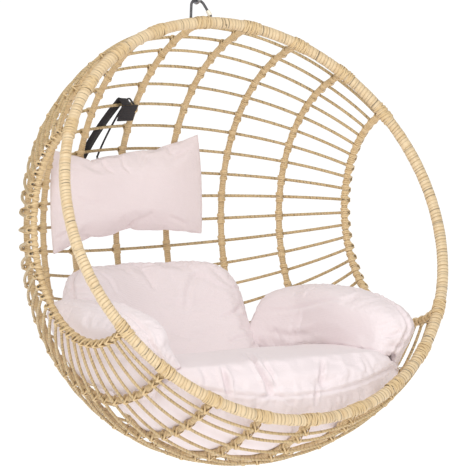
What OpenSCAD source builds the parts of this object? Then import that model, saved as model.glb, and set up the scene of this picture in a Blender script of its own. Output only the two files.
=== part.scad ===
// Hanging egg chair: a round front hoop, nine ribs behind it, a shell of thin
// cross rods lashed to the outside of the ribs, loose cushions, a head pillow on
// a webbing strap, and a snap hook that carries the chair by its hanging loop.
// Millimetres, +Z up. The sitter looks along -Y, +X is to the right when
// looking along +Y. The origin is the bearing point inside the hook's upper bow.

/* [Hoop] */
// Diameter of the front hoop, between tube centres
hoop_d = 1080; // [960:10:1160]
// Outside diameter of the hoop's steel tube
hoop_tube_d = 25; // [20:1:30]
// Wall of the hoop's steel tube
hoop_wall = 1.2; // [1:0.1:2.5]
// Thickness of the strip wound on the tubes
wrap_t = 2; // [1:0.1:3]
// Backward lean of the hoop from upright
tilt = 27.4; // [20:0.2:34]

/* [Ribs] */
// Spacing of the ribs, as an angle round the hoop
rib_pitch = 15; // [13:0.5:16]
// Depth of the centre rib behind the hoop plane
centre_depth = 676; // [600:2:720]
// Depth of the armhole ribs behind the hoop plane
arm_depth = 304; // [280:2:330]
// Outside diameter of a rib's steel tube
rib_tube_d = 12; // [10:0.5:16]
// Wall of a rib's steel tube
rib_wall = 2; // [0.8:0.1:2]

/* [Rods] */
// Diameter of a cross rod over its winding
rod_d = 8; // [6:0.5:10]
// Diameter of a cross rod's steel core
rod_core_d = 5; // [3:0.5:6]
// Spacing of the rods, as an angle along the centre rib
rod_pitch = 6.76; // [6.5:0.01:6.8]
// Width of a lashing, along the rod
lash_w = 13; // [8:1:15]
// Thickness of a lashing
lash_t = 1.5; // [1:0.1:2]

/* [Suspension] */
// Diameter of the hanging loop's steel rod
loop_rod_d = 7; // [6:0.5:8]
// Height of the hanging loop above the hoop's centre line
loop_h = 63; // [58:1:70]
// Wire diameter of the snap hook
hook_d = 8; // [7:0.5:9]
// Straight length between the snap hook's two bows
hook_straight = 40; // [36:1:50]
// Centre-line radius of the snap hook's bows
hook_bow_r = 16; // [15:0.5:20]

/* [Cushions] */
// Thickness of the back cushion
back_t = 145; // [100:5:150]
// Thickness of the arm cushions
arm_t = 122; // [90:2:130]
// Width of the seat cushion
seat_w = 784; // [680:4:790]
// Height of the seat cushion's top, from the hoop's centre
seat_top = -344; // [-400:2:-340]
// Height of the seat cushion's underside, from the hoop's centre
seat_low = -588; // [-590:2:-540]
// Width of the head pillow
pillow_w = 424; // [360:4:440]
// Height of the head pillow
pillow_h = 248; // [200:4:252]
// Thickness of the head pillow
pillow_t = 84; // [60:2:86]

/* [Hidden] */
$fn = 48;

rattan = "BurlyWood";
cloth = "MistyRose";
steel = "DimGray";

hoop_r = hoop_d / 2;
wrap_r = hoop_tube_d / 2 + wrap_t;      // outside of the wound hoop
rib_r = rib_tube_d / 2;
rib_wrap_r = rib_r + wrap_t;            // outside of a wound rib
rod_r = rod_d / 2;
rods = 30;
// rods clear the wound ribs by 0.3 mm at the tightest crossing
rod_off = rib_wrap_r + rod_r + 2.1;

// --- shell geometry, in the hoop's frame: X across, Y back from the hoop
// plane, Z up along it, origin at the hoop's centre ---
function rib_x(k) = hoop_r * sin(rib_pitch * k);
function rib_h(k) = hoop_r * cos(rib_pitch * k);
// circle through (0, +-h) and (d, 0): its radius and its centre's depth
function arc_r(h, d) = (h * h + d * d) / (2 * d);
// section through the X axis at angle 0: a circle through the centre rib and
// the armhole ribs
sag0 = centre_depth - arm_depth;
sec_r = (sag0 * sag0 + rib_x(4) * rib_x(4)) / (2 * sag0);
sec_c = centre_depth - sec_r;
function rib_d(k) = sec_c + sqrt(sec_r * sec_r - rib_x(k) * rib_x(k));
function rib_rad(k) = arc_r(rib_h(k), rib_d(k));
function rib_cen(k) = rib_d(k) - rib_rad(k);
// distance from the hoop's centre axis to rib k at angle a above straight back
function polar(k, a) = rib_cen(k) * cos(a)
  + sqrt(pow(rib_rad(k), 2) - pow(rib_cen(k) * sin(a), 2));
// the circle in the plane at angle a through the centre and armhole ribs
function cut_sag(a) = polar(0, a) - polar(4, a);
function cut_r(a) = (pow(cut_sag(a), 2) + pow(rib_x(4), 2)) / (2 * cut_sag(a));
function cut_c(a) = polar(0, a) - cut_r(a);
// rods stand at equal steps along the centre rib; the last one fills the gap
// above the hoop's bottom
function rod_phi(n) = n == 30 ? -98.6 : (15 - n) * rod_pitch;
function rod_a(n) = atan2(rib_rad(0) * sin(rod_phi(n)),
                          rib_cen(0) + rib_rad(0) * cos(rod_phi(n)));
// where rod n crosses rib k, as an angle about the rod's own centre
function cross_b(n, k) = atan2(rib_x(k), polar(abs(k), rod_a(n)) - cut_c(rod_a(n)));
// a point inside the shell: angle a, side angle b, t mm inside the ribs
function shell_pt(a, b, t) = let(r = cut_r(a) - t, q = cut_c(a) + r * cos(b))
  [r * sin(b), q * cos(a), q * sin(a)];

// --- suspension ---
loop_bow_r = 20;
loop_splay = 18.4;
loop_cz = hoop_r + loop_h - loop_bow_r; // centre of the loop's bow
loop_top = hoop_r + loop_h;             // rod centre at the loop's top
loop_leg_l = (loop_cz + loop_bow_r * sin(loop_splay) - hoop_r - wrap_r
  - loop_rod_d / 2 * sin(loop_splay) + 0.5) / cos(loop_splay);
hook_gap = 0.3;
// the hook stands with its upper bow's bearing point at the origin
hook_top_cz = -hook_bow_r + hook_d / 2; // centre of the upper bow
hook_low_cz = hook_top_cz - hook_straight;
pivot_z = hook_low_cz - hook_bow_r + hook_d / 2 + hook_gap + loop_rod_d / 2;
hoop_y = -loop_top * sin(tilt);
hoop_z = pivot_z - loop_top * cos(tilt);
gate_y = -hook_bow_r;
hinge_z = hook_low_cz + 6;
nose_z = hook_top_cz - 6;
pin_d = 2.5;

// --- head pillow, hung from its strap under the seventh rod ---
strap_phi = (rod_phi(7) + rod_phi(8)) / 2;
pillow_x = -22;                          // hangs a little left of the centre rib
pillow_y = 572;                          // behind the hoop's centre
pillow_top_z = 145;                      // pivot height above the hoop's centre
pillow_roll = -4;                        // hangs slightly askew

strap_phi6 = rod_phi(6) + 1.5;
strap_fold = 0.12;                       // the webbing's straight runs stop just short of a fold
strap_in = -rib_wrap_r - 2.2;            // webbing inside the rib
strap_out = rod_off + rod_r + 0.8;       // webbing outside the rods
strap_end_y = pillow_y + 1.5;

module in_hoop() translate([0, hoop_y, hoop_z]) rotate([-tilt, 0, 0]) children();
module at_hoop() translate([0, hoop_y, hoop_z]) children();

module bar(d, wall) {
  difference() { circle(d = d); if (wall > 0) circle(d = d - 2 * wall); }
}

// the solid that every rib end is scribed to, a hair larger than the hoop
module hoop_scribe() rotate([90, 0, 0]) rotate_extrude($fn = 240)
  translate([hoop_r, 0]) circle(r = wrap_r + 0.05);

module hoop_tube() color(steel) in_hoop() rotate([90, 0, 0])
  rotate_extrude($fn = 240) translate([hoop_r, 0]) bar(hoop_tube_d, hoop_wall);

module hoop_wrap() color(rattan) in_hoop() rotate([90, 0, 0])
  rotate_extrude($fn = 240) translate([hoop_r, 0]) difference() {
    circle(r = wrap_r);
    circle(r = hoop_tube_d / 2 + 0.02);
  }

// an arc in the plane of rib k
module rib_arc(k) {
  g = 90 + asin(rib_cen(abs(k)) / rib_rad(abs(k)));
  translate([rib_x(k), rib_cen(abs(k)), 0]) rotate([90, 0, 90])
    rotate_extrude(angle = 2 * g, start = -g, $fn = 240)
      translate([rib_rad(abs(k)), 0]) children();
}

module rib(k) color(steel) in_hoop() difference() {
  rib_arc(k) bar(rib_tube_d, rib_wall);
  hoop_scribe();
}

module rib_wraps() color(rattan) in_hoop() for (k = [-4:4]) difference() {
  rib_arc(k) difference() {
    circle(r = rib_wrap_r);
    circle(r = rib_r + 0.02);
  }
  hoop_scribe();
}

// a rod that is within 1 degree of level or plumb is laid exactly so, about the
// point where it crosses the centre rib
function rod_trim(n) = let(w = rod_a(n) - tilt, e = 90 * round(w / 90) - w) abs(e) < 1 ? e : 0;
module rod_plane(n) rotate([rod_a(n), 0, 0]) translate([0, polar(0, rod_a(n)), 0])
  rotate([rod_trim(n), 0, 0]) translate([0, -polar(0, rod_a(n)), 0]) children();

// frame on rod n's centre line at angle b: X along the rod, Y outwards
module on_rod(n, b) {
  a = rod_a(n);
  rod_plane(n) translate([0, cut_c(a), 0]) rotate([0, 0, -b])
    translate([0, cut_r(a) + rod_off, 0]) children();
}

module rod_arc(n) {
  a = rod_a(n);
  half = cross_b(n, 4) + 0.4;
  in_hoop() rod_plane(n) translate([0, cut_c(a), 0])
    rotate([0, 0, 90 - half]) rotate_extrude(angle = 2 * half, $fn = 240)
      translate([cut_r(a) + rod_off, 0]) children();
}

module rod(n) color(steel) rod_arc(n) circle(d = rod_core_d);

module rod_wraps(first, last) color(rattan) for (n = [first:last]) rod_arc(n) difference() {
  circle(r = rod_r);
  circle(d = rod_core_d + 0.04);
}

// a strip bent over a rod's outer side
module saddle(t, w) rotate([0, 90, 0]) rotate([0, 0, -10])
  rotate_extrude(angle = 200) translate([rod_r + 0.3, -w / 2]) square([t, w]);

module lashings(ks) color(rattan) in_hoop() for (k = ks, n = [1:rods])
  on_rod(n, cross_b(n, k)) saddle(lash_t, lash_w);

module rod_end_knots() color(rattan) in_hoop() for (k = [-4, 4], n = [1:rods])
  on_rod(n, cross_b(n, k)) saddle(lash_t + 1, lash_w - 3);

// --- hanging loop ---
module loop_leg(d, from, len) rotate([0, 180 - loop_splay, 0])
  translate([0, 0, from]) cylinder(d = d, h = len);

module hanging_loop() color(steel) in_hoop() translate([0, 0, loop_cz]) {
  rotate([90, 0, 0]) rotate_extrude(angle = 180 - 2 * loop_splay, start = loop_splay, $fn = 240)
    translate([loop_bow_r, 0]) circle(d = loop_rod_d);
  for (s = [0, 1]) mirror([s, 0, 0])
    translate([loop_bow_r * cos(loop_splay), 0, loop_bow_r * sin(loop_splay)]) {
      loop_leg(loop_rod_d, 0, loop_leg_l);
      // the bend where the bow meets the leg
      sphere(d = loop_rod_d + 0.06);
    }
}

module loop_sleeve() color("Gainsboro") in_hoop() translate([0, 0, loop_cz])
  translate([loop_bow_r * cos(loop_splay), 0, loop_bow_r * sin(loop_splay)])
    difference() {
      loop_leg(loop_rod_d + 4, 18, 14);
      loop_leg(loop_rod_d + 0.1, 17, 16);
    }

// --- snap hook, in the plane x = 0 ---
module carabiner_body() color(steel) difference() {
  union() {
    // upper bow, from the nose over to the spine
    translate([0, 0, hook_top_cz]) rotate([90, 0, 90])
      rotate_extrude(angle = 180, $fn = 240) translate([hook_bow_r, 0]) circle(d = hook_d);
    translate([0, hook_bow_r, hook_low_cz]) cylinder(d = hook_d, h = hook_straight);
    // lower bow, from the spine round to the hinge
    translate([0, 0, hook_low_cz]) rotate([90, 0, 90])
      rotate_extrude(angle = 180, start = 180, $fn = 240) translate([hook_bow_r, 0]) circle(d = hook_d);
    // nose
    translate([0, gate_y, nose_z]) cylinder(d = hook_d, h = hook_top_cz - nose_z);
    // flat tongue that carries the hinge pin
    intersection() {
      translate([-1.5, gate_y - hook_d / 2, hook_low_cz]) cube([3, hook_d, hinge_z - hook_low_cz + 3.2]);
      translate([0, gate_y, hook_low_cz]) cylinder(d = hook_d, h = 20);
    }
  }
  translate([-hook_d, gate_y, hinge_z]) rotate([0, 90, 0]) cylinder(d = pin_d + 0.1, h = 2 * hook_d);
}

module carabiner_gate() color("SlateGray") difference() {
  translate([0, gate_y, hinge_z - 3.2]) cylinder(d = hook_d, h = nose_z - 0.5 - hinge_z + 3.2);
  // slot over the tongue
  translate([-1.7, gate_y - hook_d, hook_low_cz - 1]) cube([3.4, 2 * hook_d, hinge_z - hook_low_cz + 1 + 6]);
  // pocket of the closing spring
  translate([0, gate_y, hinge_z + 5]) cylinder(d = 4, h = 14);
  translate([-hook_d, gate_y, hinge_z]) rotate([0, 90, 0]) cylinder(d = pin_d, h = 2 * hook_d);
}

module carabiner_pin() color("Silver") translate([-hook_d / 2 + 0.4, gate_y, hinge_z])
  rotate([0, 90, 0]) cylinder(d = pin_d, h = hook_d - 0.8);

module carabiner_spring() color("Silver") for (i = [0:5])
  translate([0, gate_y, hinge_z + 7.2 + 2 * i]) rotate_extrude()
    translate([1.3, 0]) circle(d = 0.7, $fn = 16);

// --- soft parts: closed rounded solids from a warped unit ball ---
function spow(v, e) = sign(v) * pow(abs(v), e);
function ball_pt(i, j, nu, nv, e1, e2) =
  let(th = 360 * i / nu, ph = -90 + 180 * j / nv)
  [spow(cos(ph), e1) * spow(cos(th), e2), spow(cos(ph), e1) * spow(sin(th), e2), spow(sin(ph), e1)];

module puff(warp, e1 = 0.8, e2 = 0.8, nu = 28, nv = 12) {
  pts = concat([warp([0, 0, -1])],
    [for (j = [1:nv - 1], i = [0:nu - 1]) warp(ball_pt(i, j, nu, nv, e1, e2))],
    [warp([0, 0, 1])]);
  last = len(pts) - 1;
  polyhedron(pts, concat(
    [for (i = [0:nu - 1]) [0, 1 + i, 1 + (i + 1) % nu]],
    [for (j = [0:nv - 3], i = [0:nu - 1]) each [
      [1 + j * nu + i, 1 + (j + 1) * nu + i, 1 + (j + 1) * nu + (i + 1) % nu],
      [1 + j * nu + i, 1 + (j + 1) * nu + (i + 1) % nu, 1 + j * nu + (i + 1) % nu]]],
    [for (i = [0:nu - 1]) [1 + (nv - 2) * nu + (i + 1) % nu, 1 + (nv - 2) * nu + i, last]]),
    convexity = 4);
}

// a hollow cushion: the same shape, k times its size about c, is left out of it
module skin(warp, c, k, e1, e2) difference() {
  puff(warp, e1, e2);
  puff(function(p) c + k * (warp(p) - c), e1, e2);
}
function step(t) = let(c = max(0, min(1, t))) c * c * (3 - 2 * c);
// hoop frame to level axes
function level(p) = [p[0], p[1] * cos(tilt) + p[2] * sin(tilt), p[2] * cos(tilt) - p[1] * sin(tilt)];
// side distance from the middle to a surface t mm inside the ribs, at y behind
// and z above the hoop's centre, measured level
function side_x(y, z, t) = let(v = y * cos(tilt) - z * sin(tilt), w = y * sin(tilt) + z * cos(tilt),
    a = atan2(w, v), r = cut_r(a) - t, e = norm([v, w]) - cut_c(a)) sqrt(max(r * r - e * e, 0));

// lies on the inside of the shell
module back_cushion() color(cloth) in_hoop() skin(function(p)
  shell_pt(-13.5 + 25.5 * p[1], (37.5 + 3.5 * p[1]) * p[0], rib_wrap_r + 4 + back_t * (1 + p[2]) / 2),
  shell_pt(-13.5, 0, rib_wrap_r + 4 + back_t * 0.55), 0.8, 0.7, 0.5);

// rests on the seat's shoulder and leans on the shell
module arm_cushion(s) color(cloth) at_hoop() mirror([s < 0 ? 1 : 0, 0, 0]) skin(function(p)
  let(y = 138 - 262 * p[0], v = (y - 150) / 1000, z0 = -287 - (v > 0 ? 350 : 850) * v * v + 88 * p[2],
    in = arm_t * (1 - 0.45 * pow(max(0, -p[0]), 2)) * (1 - p[1]) / 2,
    x0 = min(side_x(y, max(z0, -345), rib_wrap_r + 6), 430) - in,
    z = max(z0, 10 * p[2] - 323 - 70 * step((x0 - 352) / 50) - 60 * step((y - 225) / 60)))
  [min(side_x(y, z, rib_wrap_r + 6), 430) - in, y, z], [365, 138, -285], 0.92, 0.5, 0.5);

// the seat fills the bowl's bottom: its underside lies on the shell and its top
// is near level, with a lower shoulder under each arm
module seat_cushion() color(cloth) at_hoop() skin(function(p)
  let(a = -63.5 + 20.5 * p[1], d = rib_wrap_r + 5,
    q = level(shell_pt(a, asin(seat_w / 2 * p[0] / (cut_r(a) - d)), d)), low = max(q[2], seat_low),
    top = max(seat_top + 6 * p[0] - 110 * step((abs(q[0]) - 305) / 70), q[2] + 12))
  [q[0], q[1], low + (top - low) * (1 + p[2]) / 2], [0, 0, -470], 0.94, 0.5, 0.5);

// its sides are drawn in between the corners
module head_pillow() color(cloth) at_hoop()
  translate([pillow_x, pillow_y, pillow_top_z + 6 - pillow_h / 2]) rotate([0, pillow_roll, 0])
    skin(function(p) [pillow_w / 2 * p[0] * (1 - 0.04 * (1 - p[1] * p[1])), -pillow_t / 2 * p[2],
      pillow_h / 2 * p[1] * (1 - 0.11 * (1 - p[0] * p[0]))], [0, 0, 0], 0.92, 0.75, 0.35);

// webbing in arcs about the centre rib's own centre, r mm outside its centre line
module strap_arc(x0, w, r, phi0, phi1) translate([0, rib_cen(0), 0]) rotate([90, 0, 90])
  rotate_extrude(angle = phi1 - phi0, start = phi0, $fn = 240)
    translate([rib_rad(0) + r, x0]) square([1.4, w]);

// one tail: out beside the centre rib, askew over the outside of rods 6 and 7,
// then in between rods 7 and 8
module strap_tail(xc, w, skew, run) {
  r = rib_rad(0) + strap_out;
  x1 = xc - (r + 0.7) * sin(run) * sin(skew);
  rq = (r + 0.7) * sqrt(1 - pow(sin(run) * sin(skew), 2));
  q = level([x1, rib_cen(0) + rq * cos(strap_phi), rq * sin(strap_phi)]);
  dy = q[1] - strap_end_y;
  dz = q[2] - pillow_top_z - 3.7;
  in_hoop() translate([xc, rib_cen(0), 0]) rotate([strap_phi6, 0, 0]) {
    rotate([0, skew, 0]) rotate([90, 0, 90])
      rotate_extrude(angle = run - strap_fold, start = -run, $fn = 240)
        translate([r, -w / 2]) square([1.4, w]);
    translate([-w / 2, rib_rad(0) + strap_in, -0.7]) cube([w, strap_out - strap_in - 0.3, 1.4]);
  }
  translate([x1 - w / 2, hoop_y + strap_end_y, hoop_z + pillow_top_z + 3]) rotate([atan2(dz, dy), 0, 0])
    cube([w, norm([dy, dz]) - 1.2, 1.4]);
}

module pillow_strap() color("DarkSlateGray") {
  strap_tail(-29, 22, 32, 13.65);
  strap_tail(-12.5, 6, 20, 12.36);
  // patch over the inside of the centre rib
  in_hoop() strap_arc(-40, 53, strap_in, rod_phi(6) - 3.8, strap_phi6 - strap_fold);
}

module pillow_tab() color("DarkSlateGray") at_hoop()
  translate([-112, pillow_y - 0.7, pillow_top_z - 8]) cube([62, 1.4, 9]);

carabiner_body();
carabiner_gate();
carabiner_pin();
carabiner_spring();
hanging_loop();
loop_sleeve();
hoop_tube();
hoop_wrap();
rib(-3);  // rib_left_3
rib(-2);  // rib_left_2
rib(-1);  // rib_left_1
rib(0);  // rib_centre
rib(1);  // rib_right_1
rib(2);  // rib_right_2
rib(3);  // rib_right_3
rib(-4);  // armhole_rib_left
rib(4);  // armhole_rib_right
rib_wraps();
rod(1);  // rod_01
rod(2);  // rod_02
rod(3);  // rod_03
rod(4);  // rod_04
rod(5);  // rod_05
rod(6);  // rod_06
rod(7);  // rod_07
rod(8);  // rod_08
rod(9);  // rod_09
rod(10);  // rod_10
rod(11);  // rod_11
rod(12);  // rod_12
rod(13);  // rod_13
rod(14);  // rod_14
rod(15);  // rod_15
rod(16);  // rod_16
rod(17);  // rod_17
rod(18);  // rod_18
rod(19);  // rod_19
rod(20);  // rod_20
rod(21);  // rod_21
rod(22);  // rod_22
rod(23);  // rod_23
rod(24);  // rod_24
rod(25);  // rod_25
rod(26);  // rod_26
rod(27);  // rod_27
rod(28);  // rod_28
rod(29);  // rod_29
rod(30);  // rod_30
rod_wraps(1, 15);  // rod_wraps_upper
rod_wraps(16, 30);  // rod_wraps_lower
lashings([-3:3]);
rod_end_knots();
seat_cushion();
back_cushion();
arm_cushion(-1);  // arm_cushion_left
arm_cushion(1);  // arm_cushion_right
head_pillow();
pillow_strap();
pillow_tab();
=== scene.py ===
import math
import bpy
import bmesh
import numpy as np
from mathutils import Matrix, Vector, noise
from mathutils.bvhtree import BVHTree


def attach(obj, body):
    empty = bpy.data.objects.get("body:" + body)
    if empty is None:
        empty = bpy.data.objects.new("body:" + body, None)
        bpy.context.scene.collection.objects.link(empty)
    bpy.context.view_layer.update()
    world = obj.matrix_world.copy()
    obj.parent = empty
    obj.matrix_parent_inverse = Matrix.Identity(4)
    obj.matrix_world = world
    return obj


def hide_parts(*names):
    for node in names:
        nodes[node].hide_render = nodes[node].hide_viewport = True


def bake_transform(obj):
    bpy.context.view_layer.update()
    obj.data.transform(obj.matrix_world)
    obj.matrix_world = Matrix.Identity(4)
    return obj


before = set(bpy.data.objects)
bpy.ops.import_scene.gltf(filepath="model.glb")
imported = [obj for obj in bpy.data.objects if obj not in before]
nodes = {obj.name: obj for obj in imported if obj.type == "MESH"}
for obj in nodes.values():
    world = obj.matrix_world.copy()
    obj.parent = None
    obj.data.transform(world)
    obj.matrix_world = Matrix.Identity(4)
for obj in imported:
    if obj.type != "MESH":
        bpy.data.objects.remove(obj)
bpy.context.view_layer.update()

scene = bpy.context.scene
rng = np.random.default_rng(7)

# ------------------------------------------------------------------ frame of the basket
TILT = math.radians(27.4)
HC = np.array([0.0, -0.603 * math.sin(TILT), -0.0602 - 0.603 * math.cos(TILT)])
X = np.array([1.0, 0.0, 0.0])
W = np.array([0.0, math.cos(TILT), -math.sin(TILT)])
U = np.array([0.0, math.sin(TILT), math.cos(TILT)])


def hoop_pt(p):
    p = np.asarray(p, float)
    return HC + p[..., 0:1] * X + p[..., 1:2] * W + p[..., 2:3] * U


def hoop_dir(p):
    p = np.asarray(p, float)
    return p[..., 0:1] * X + p[..., 1:2] * W + p[..., 2:3] * U


HR = 0.540
PITCH = math.radians(15)
DEPTH, ARM_DEPTH = 0.676, 0.304
TUBE_R, WRAP_R = 0.0125, 0.0145
RIB_R, RIB_WRAP_R = 0.006, 0.008
ROD_R, ROD_OFF, RODS = 0.004, 0.0141, 30
ROD_PITCH = math.radians(6.76)


def rib_x(k):
    return HR * math.sin(PITCH * k)


def rib_h(k):
    return HR * math.cos(PITCH * k)


SAG0 = DEPTH - ARM_DEPTH
SEC_R = (SAG0 ** 2 + rib_x(4) ** 2) / (2 * SAG0)
SEC_C = DEPTH - SEC_R


def rib_d(k):
    return SEC_C + math.sqrt(SEC_R ** 2 - rib_x(k) ** 2)


def rib_rad(k):
    k = abs(k)
    return (rib_h(k) ** 2 + rib_d(k) ** 2) / (2 * rib_d(k))


def rib_cen(k):
    return rib_d(abs(k)) - rib_rad(k)


def polar(k, a):
    return rib_cen(k) * np.cos(a) + np.sqrt(rib_rad(k) ** 2 - (rib_cen(k) * np.sin(a)) ** 2)


def cut(a):
    s = polar(0, a) - polar(4, a)
    r = (s * s + rib_x(4) ** 2) / (2 * s)
    return r, polar(0, a) - r


def rod_phi(n):
    return math.radians(-98.6) if n == 30 else (15 - n) * ROD_PITCH


def rod_a(n):
    p = rod_phi(n)
    return math.atan2(rib_rad(0) * math.sin(p), rib_cen(0) + rib_rad(0) * math.cos(p))


def rod_trim(n):
    w = math.degrees(rod_a(n) - TILT)
    e = 90 * round(w / 90) - w
    return math.radians(e) if abs(e) < 1 else 0.0


def cross_b(n, k):
    a = rod_a(n)
    r, c = cut(a)
    return math.atan2(rib_x(k), polar(k, a) - c)


def level(y, z):
    """hoop-frame (depth, height) of a point y behind and z above the hoop centre, level axes"""
    return y * math.cos(TILT) - z * math.sin(TILT), y * math.sin(TILT) + z * math.cos(TILT)


def side_x(y, z, t):
    v, w = level(y, z)
    a = np.arctan2(w, v)
    r, c = cut(a)
    e = np.hypot(v, w) - c
    return np.sqrt(np.maximum((r - t) ** 2 - e * e, 0))


def shell(a, b, t):
    """hoop-frame points at angles a, b (radians), t inside the ribs"""
    r, c = cut(a)
    q = c + (r - t) * np.cos(b)
    return np.stack([(r - t) * np.sin(b), q * np.cos(a), q * np.sin(a)], -1)


# ------------------------------------------------------------------ camera, at the photograph's angle
AZ, EL = math.radians(-33.06), math.radians(5.07)
BACK = np.array([math.sin(AZ) * math.cos(EL), -math.cos(AZ) * math.cos(EL), math.sin(EL)])
RIGHT = np.array([math.cos(AZ), math.sin(AZ), 0.0])
UP = np.cross(BACK, RIGHT)
FOCAL = 400.7 * 15.8
CAM = HC + BACK * 15.8 + RIGHT * -0.0536 + UP * -0.0397
cam_data = bpy.data.cameras.new("camera")
cam_data.sensor_width = 36.0
cam_data.lens = FOCAL / 470.0 * 36.0
cam_data.clip_start, cam_data.clip_end = 1.0, 400.0
cam = bpy.data.objects.new("camera", cam_data)
scene.collection.objects.link(cam)
cam.location = CAM
cam.rotation_mode = "QUATERNION"
cam.rotation_quaternion = Vector(-BACK).to_track_quat("-Z", "Y")
scene.camera = cam


def ray(px, py):
    d = -BACK + RIGHT * ((px - 235.0) / FOCAL) - UP * ((py - 235.0) / FOCAL)
    return CAM, d / np.linalg.norm(d)


# ------------------------------------------------------------------ mesh helpers
def make(name, verts, faces, body="basket", smooth=True, attrs=None, mat=None, weld=0.0, cap=False):
    me = bpy.data.meshes.new(name)
    me.from_pydata(np.asarray(verts, float).tolist() if not isinstance(verts, list) else verts, [],
                   faces if isinstance(faces, list) else faces.tolist())
    for key, val in (attrs or {}).items():
        val = np.asarray(val, np.float32)
        kind = "FLOAT" if val.ndim == 1 else "FLOAT_VECTOR"
        at = me.attributes.new(key, kind, "POINT")
        at.data.foreach_set("value" if val.ndim == 1 else "vector", val.ravel())
    if weld or cap:
        bm = bmesh.new()
        bm.from_mesh(me)
        if weld:
            bmesh.ops.remove_doubles(bm, verts=bm.verts, dist=weld)
            bmesh.ops.dissolve_degenerate(bm, dist=weld * 0.5, edges=bm.edges)
        if cap:
            edges = [e for e in bm.edges if e.is_boundary]
            if edges:
                bmesh.ops.holes_fill(bm, edges=edges, sides=0)
        bmesh.ops.recalc_face_normals(bm, faces=bm.faces)
        bm.to_mesh(me)
        bm.free()
    me.polygons.foreach_set("use_smooth", [smooth] * len(me.polygons))
    me.update()
    ob = bpy.data.objects.new(name, me)
    scene.collection.objects.link(ob)
    if mat:
        me.materials.append(mat)
    if body:
        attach(ob, body)
    return ob


def grid_faces(nu, nv, close_u=False, close_v=False):
    """quads of a grid of nu rows by nv columns, vertex index = i * nv + j"""
    i = np.arange(nu if close_u else nu - 1)
    j = np.arange(nv if close_v else nv - 1)
    i, j = np.meshgrid(i, j, indexing="ij")
    i2, j2 = (i + 1) % nu, (j + 1) % nv
    return np.stack([i * nv + j, i * nv + j2, i2 * nv + j2, i2 * nv + j], -1).reshape(-1, 4)


def smooth_noise(x, seed, scale):
    """1-D value noise in -1..1 at positions x, one bump every `scale`"""
    g = np.random.default_rng(seed).uniform(-1, 1, 4096)
    t = np.asarray(x, float) / scale + 1000.0
    i = np.floor(t).astype(int)
    f = t - i
    f = f * f * (3 - 2 * f)
    return g[i % 4096] * (1 - f) + g[(i + 1) % 4096] * f


def hashed(i, seed):
    g = np.random.default_rng(seed).uniform(0, 1, 8192)
    return g[np.asarray(i, int) % 8192]


FR = np.array([0.0, 0.13, 0.5, 0.87])   # where a strip's seam, edge, middle and edge lie across it


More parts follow.
